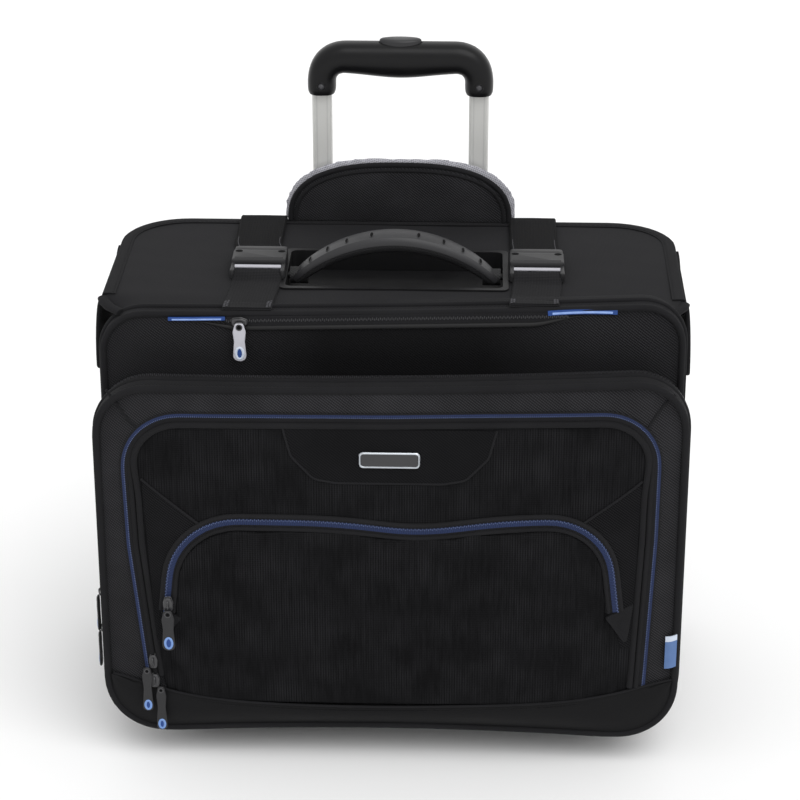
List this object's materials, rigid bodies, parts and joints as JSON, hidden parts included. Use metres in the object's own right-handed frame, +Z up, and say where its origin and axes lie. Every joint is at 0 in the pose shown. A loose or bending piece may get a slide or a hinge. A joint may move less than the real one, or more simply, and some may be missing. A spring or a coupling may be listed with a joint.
{
  "type": "pilot rolling flight case",
  "caption": "Soft-sided rolling flight case with a hinged lid, buckled straps, fold-down front organiser, top carry handle, telescopic trolley handle and rear wheels.",
  "frame": {"origin": "on the floor, under the centre of the case's overall box", "axes": "+Z up, the front of the case faces -Y, +X to the right seen from the front"},
  "size_m": [0.4578, 0.2939, 0.5115],
  "materials": {
    "case_fabric": "plain polyester, satin",
    "twill_fabric": "fine diagonal twill",
    "pinstripe_fabric": "fine vertical ribs",
    "edge_binding": "folded tape binding",
    "zip_tape": "woven tape with nylon coil",
    "accent_tape": "blue woven tape",
    "webbing": "ribbed webbing",
    "spacer_mesh": "light grey spacer mesh",
    "tag_fabric": "blue woven tag, blank",
    "divider_board": "smooth board",
    "moulded_plastic": "fine textured moulding",
    "buckle_plastic": "satin acetal",
    "grip_plastic": "satin moulding",
    "handle_rubber": "dimpled soft rubber",
    "tube_aluminium": "satin anodised",
    "badge_metal": "dark plate with a bright rim, blank",
    "slider_metal": "black nickel",
    "puller_grey": "grey coated",
    "puller_black": "black coated",
    "screw_steel": "blackened",
    "axle_steel": "plain",
    "wheel_tyre": "matte",
    "wheel_hub": "satin moulding",
    "foot_rubber": "matte"
  },
  "bodies": {
    "case": {"main_shell": "case_fabric", "bottom_board": "divider_board", "front_pocket_shell": "twill_fabric", "front_zip": "zip_tape", "base_bracket": "moulded_plastic", "back_cover": "case_fabric", "outer_tubes": "tube_aluminium", "handle_bezel": "moulded_plastic", "wheel_housing_left": "moulded_plastic", "wheel_housing_right": "moulded_plastic", "wheel_axles": "axle_steel", "front_feet": "foot_rubber", "base_screws": "screw_steel", "strap_anchors": "webbing", "strap_tails": "webbing"},
    "wheel_left": {"tyre_left": "wheel_tyre", "hub_left": "wheel_hub"},
    "wheel_right": {"tyre_right": "wheel_tyre", "hub_right": "wheel_hub"},
    "handle_stage_1": {"mid_tubes": "tube_aluminium"},
    "handle_stage_2": {"inner_tubes": "tube_aluminium", "grip_body": "grip_plastic", "grip_screws": "screw_steel"},
    "handle_button": {"release_button": "grip_plastic", "push_rods": "axle_steel"},
    "lid": {"lid_panel": "case_fabric", "lid_binding": "edge_binding", "lid_wings": "case_fabric", "handle_tray": "moulded_plastic", "front_strap_left": "webbing", "front_strap_right": "webbing", "buckle_socket_left": "buckle_plastic", "buckle_socket_right": "buckle_plastic"},
    "top_handle": {"carry_handle": "handle_rubber"},
    "tongue": {"tongue_flap": "twill_fabric", "tongue_lining": "spacer_mesh"},
    "left_strap": {"rear_strap_left": "webbing", "buckle_plug_left": "buckle_plastic"},
    "right_strap": {"rear_strap_right": "webbing", "buckle_plug_right": "buckle_plastic"},
    "organiser": {"organiser_shell": "twill_fabric", "organiser_zip": "zip_tape", "pocket_panel": "pinstripe_fabric", "pocket_zip": "zip_tape", "lower_pocket_panel": "pinstripe_fabric", "lower_pocket_zip": "zip_tape", "badge": "badge_metal", "side_tag": "tag_fabric"},
    "front_zip_slide": {"front_zip_slider": "slider_metal"},
    "front_zip_pull": {"front_zip_puller": "puller_grey"},
    "pocket_zip_upper_slide": {"pocket_zip_upper_slider": "slider_metal"},
    "pocket_zip_upper_pull": {"pocket_zip_upper_puller": "puller_black"},
    "pocket_zip_lower_slide": {"pocket_zip_lower_slider": "slider_metal"},
    "pocket_zip_lower_pull": {"pocket_zip_lower_puller": "puller_black"},
    "lower_pocket_zip_slide": {"lower_pocket_zip_slider": "slider_metal"},
    "lower_pocket_zip_pull": {"lower_pocket_zip_puller": "puller_black"},
    "organiser_zip_upper_slide": {"organiser_zip_upper_slider": "slider_metal"},
    "organiser_zip_upper_pull": {"organiser_zip_upper_puller": "puller_black"},
    "organiser_zip_lower_slide": {"organiser_zip_lower_slider": "slider_metal"},
    "organiser_zip_lower_pull": {"organiser_zip_lower_puller": "puller_black"}
  },
  "joints": [
    {"name": "wheel_left_spin", "type": "hinge", "parent": "case", "child": "wheel_left", "pos_m": [-0.198, 0.097, 0.031], "axis": [1, 0, 0], "continuous": true},
    {"name": "wheel_right_spin", "type": "hinge", "parent": "case", "child": "wheel_right", "pos_m": [0.198, 0.097, 0.031], "axis": [1, 0, 0], "continuous": true},
    {"name": "handle_lower_stage", "type": "slide", "parent": "case", "child": "handle_stage_1", "axis": [0, 0, 1], "range_m": [0, 0.258]},
    {"name": "handle_upper_stage", "type": "slide", "parent": "handle_stage_1", "child": "handle_stage_2", "axis": [0, 0, 1], "range_m": [-0.149, 0.112]},
    {"name": "handle_button_press", "type": "slide", "parent": "handle_stage_2", "child": "handle_button", "axis": [0, 0, -1], "range_m": [0, 0.004], "stiffness_N_per_m": 800, "springref_m": -0.002},
    {"name": "lid_hinge", "type": "hinge", "parent": "case", "child": "lid", "pos_m": [0, -0.06, 0.364], "axis": [1, 0, 0], "range_deg": [0, 110]},
    {"name": "carry_handle_swing", "type": "hinge", "parent": "lid", "child": "top_handle", "pos_m": [0, -0.003, 0.36], "axis": [1, 0, 0], "range_deg": [-35, 35]},
    {"name": "tongue_hinge", "type": "hinge", "parent": "lid", "child": "tongue", "pos_m": [0, 0.103, 0.3654], "axis": [1, 0, 0], "range_deg": [-8, 80]},
    {"name": "left_buckle_release", "type": "slide", "parent": "lid", "child": "left_strap", "axis": [0, 1, 0], "range_m": [0, 0.022]},
    {"name": "right_buckle_release", "type": "slide", "parent": "lid", "child": "right_strap", "axis": [0, 1, 0], "range_m": [0, 0.022]},
    {"name": "organiser_hinge", "type": "hinge", "parent": "case", "child": "organiser", "pos_m": [0, -0.092, 0.0265], "axis": [1, 0, 0], "range_deg": [0, 35]},
    {"name": "front_zip_travel", "type": "slide", "parent": "case", "child": "front_zip_slide", "axis": [0.9997, 0, 0.025], "range_m": [0, 0.222]},
    {"name": "front_zip_puller_swing", "type": "hinge", "parent": "front_zip_slide", "child": "front_zip_pull", "pos_m": [-0.114, -0.0994, 0.35725], "axis": [1, 0, 0], "range_deg": [-120, 0]},
    {"name": "pocket_zip_upper_travel", "type": "slide", "parent": "organiser", "child": "pocket_zip_upper_slide", "axis": [-0.0427, 0, 0.9991], "range_m": [0, 0.15]},
    {"name": "pocket_zip_upper_puller_swing", "type": "hinge", "parent": "pocket_zip_upper_slide", "child": "pocket_zip_upper_pull", "pos_m": [-0.1891, -0.1401, 0.084], "axis": [1, 0, 0], "range_deg": [-120, 0]},
    {"name": "pocket_zip_lower_travel", "type": "slide", "parent": "organiser", "child": "pocket_zip_lower_slide", "axis": [-0.0427, 0, 0.9991], "range_m": [-0.006, 0.004]},
    {"name": "pocket_zip_lower_puller_swing", "type": "hinge", "parent": "pocket_zip_lower_slide", "child": "pocket_zip_lower_pull", "pos_m": [-0.1788, -0.1401, 0.067], "axis": [1, 0, 0], "range_deg": [-120, 0]},
    {"name": "lower_pocket_zip_travel", "type": "slide", "parent": "organiser", "child": "lower_pocket_zip_slide", "axis": [0.0942, 0, 0.9956], "range_m": [0, 0.028]},
    {"name": "lower_pocket_zip_puller_swing", "type": "hinge", "parent": "lower_pocket_zip_slide", "child": "lower_pocket_zip_pull", "pos_m": [-0.1702, -0.1471, 0.138], "axis": [1, 0, 0], "range_deg": [-120, 0]},
    {"name": "organiser_zip_upper_travel", "type": "slide", "parent": "organiser", "child": "organiser_zip_upper_slide", "axis": [0, 0, 1], "range_m": [0, 0.13]},
    {"name": "organiser_zip_upper_puller_swing", "type": "hinge", "parent": "organiser_zip_upper_slide", "child": "organiser_zip_upper_pull", "pos_m": [-0.2314, -0.096, 0.123], "axis": [0, 1, 0], "range_deg": [0, 120]},
    {"name": "organiser_zip_lower_travel", "type": "slide", "parent": "organiser", "child": "organiser_zip_lower_slide", "axis": [0, 0, 1], "range_m": [-0.004, 0.001]},
    {"name": "organiser_zip_lower_puller_swing", "type": "hinge", "parent": "organiser_zip_lower_slide", "child": "organiser_zip_lower_pull", "pos_m": [-0.2314, -0.096, 0.091], "axis": [0, 1, 0], "range_deg": [0, 120]}
  ]
}
